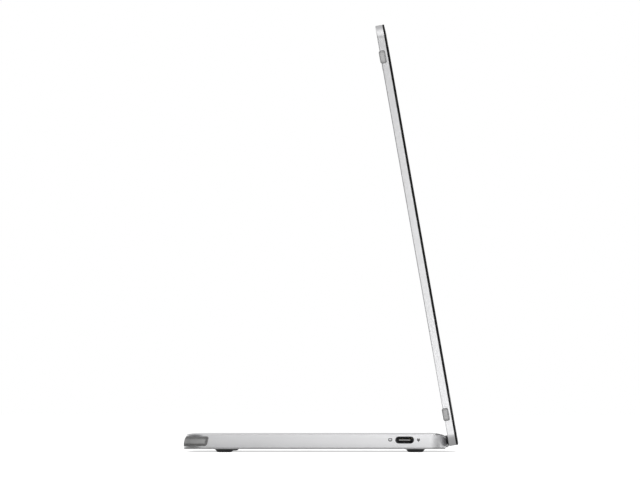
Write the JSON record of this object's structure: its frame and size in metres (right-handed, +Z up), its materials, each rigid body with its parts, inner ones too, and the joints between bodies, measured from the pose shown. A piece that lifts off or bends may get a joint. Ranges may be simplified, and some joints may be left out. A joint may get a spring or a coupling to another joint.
{
  "type": "portable monitor",
  "caption": "Thin portable display that stands on a hinged metal base slab and folds flat onto it, with a data socket in each side of the base.",
  "frame": {"origin": "middle of the footprint of the open monitor, on the desk", "axes": "+X to the viewer's right along the hinge, +Y away from the viewer over the base, +Z up; the screen faces -Y"},
  "size_m": [0.321, 0.1332, 0.2075],
  "materials": {
    "silver_metal": "fine bead-blasted and clear anodised",
    "plate_metal": "satin grey anodised",
    "button_metal": "satin anodised",
    "black_frame": "fine matt black",
    "screen_glass": "black, anti-glare film, switched off",
    "black_tape": "black foam tape and film",
    "white_film": "white optical film",
    "clear_acrylic": "clear acrylic",
    "flex_circuit": "amber flexible circuit",
    "steel": "plain stamped steel",
    "port_steel": "nickel-plated stamped steel",
    "circuit_board": "green solder mask",
    "chip_black": "moulded black",
    "plug_cream": "moulded cream nylon",
    "cable_black": "black sleeved cable",
    "heat_pad": "soft silicone gap filler",
    "hinge_dark": "dark grey satin paint",
    "grey_rubber": "mid grey, fine matt",
    "dark_rubber": "dark grey, matt"
  },
  "bodies": {
    "base": {"base_shell": "silver_metal", "base_plate": "plate_metal", "base_screws": "steel", "corner_pad_left": "grey_rubber", "corner_pad_right": "grey_rubber", "foot_front_left": "dark_rubber", "foot_front_right": "dark_rubber", "foot_rear_left": "dark_rubber", "foot_rear_right": "dark_rubber", "torque_clip_left": "steel", "torque_clip_right": "steel", "clip_screws": "steel", "main_board": "circuit_board", "board_screws": "steel", "scaler_chip": "chip_black", "chip_pad": "heat_pad", "shield_can": "steel", "heat_pad": "heat_pad", "power_inductors": "chip_black", "port_controllers": "chip_black", "cable_socket": "plug_cream", "base_cable": "cable_black", "insulation_film": "black_tape", "port_shell_left": "port_steel", "port_shell_right": "port_steel", "port_tongue_left": "chip_black", "port_tongue_right": "chip_black", "button_board": "circuit_board", "button_switches": "chip_black", "button_ribbon": "flex_circuit"},
    "display": {"rear_cover": "silver_metal", "front_bezel": "black_frame", "bezel_tape": "black_tape", "lcd_cell": "screen_glass", "optical_films": "white_film", "light_guide": "clear_acrylic", "reflector_sheet": "white_film", "light_bar": "flex_circuit", "panel_tray": "steel", "panel_pads": "black_tape", "timing_board": "circuit_board", "timing_chips": "chip_black", "source_flex": "flex_circuit", "panel_plug": "plug_cream", "panel_cable": "cable_black", "bumper_upper_left": "grey_rubber", "bumper_upper_right": "grey_rubber", "bumper_lower_left": "grey_rubber", "bumper_lower_right": "grey_rubber", "hinge_barrel": "hinge_dark", "barrel_plugs": "steel", "hinge_shaft_left": "steel", "hinge_shaft_right": "steel", "barrel_screws": "steel"},
    "power_button": {"power_button": "button_metal"},
    "brightness_down": {"brightness_down_button": "button_metal"},
    "brightness_up": {"brightness_up_button": "button_metal"}
  },
  "joints": [
    {"name": "display_fold", "type": "hinge", "parent": "base", "child": "display", "pos_m": [0, -0.05807, 0.00595], "axis": [-1, 0, 0], "range_deg": [0, 80]},
    {"name": "power_button_press", "type": "slide", "parent": "base", "child": "power_button", "axis": [-1, 0, 0], "range_m": [0, 0.00025], "stiffness_N_per_m": 2000},
    {"name": "brightness_down_press", "type": "slide", "parent": "base", "child": "brightness_down", "axis": [-1, 0, 0], "range_m": [0, 0.00025], "stiffness_N_per_m": 2000},
    {"name": "brightness_up_press", "type": "slide", "parent": "base", "child": "brightness_up", "axis": [-1, 0, 0], "range_m": [0, 0.00025], "stiffness_N_per_m": 2000}
  ]
}
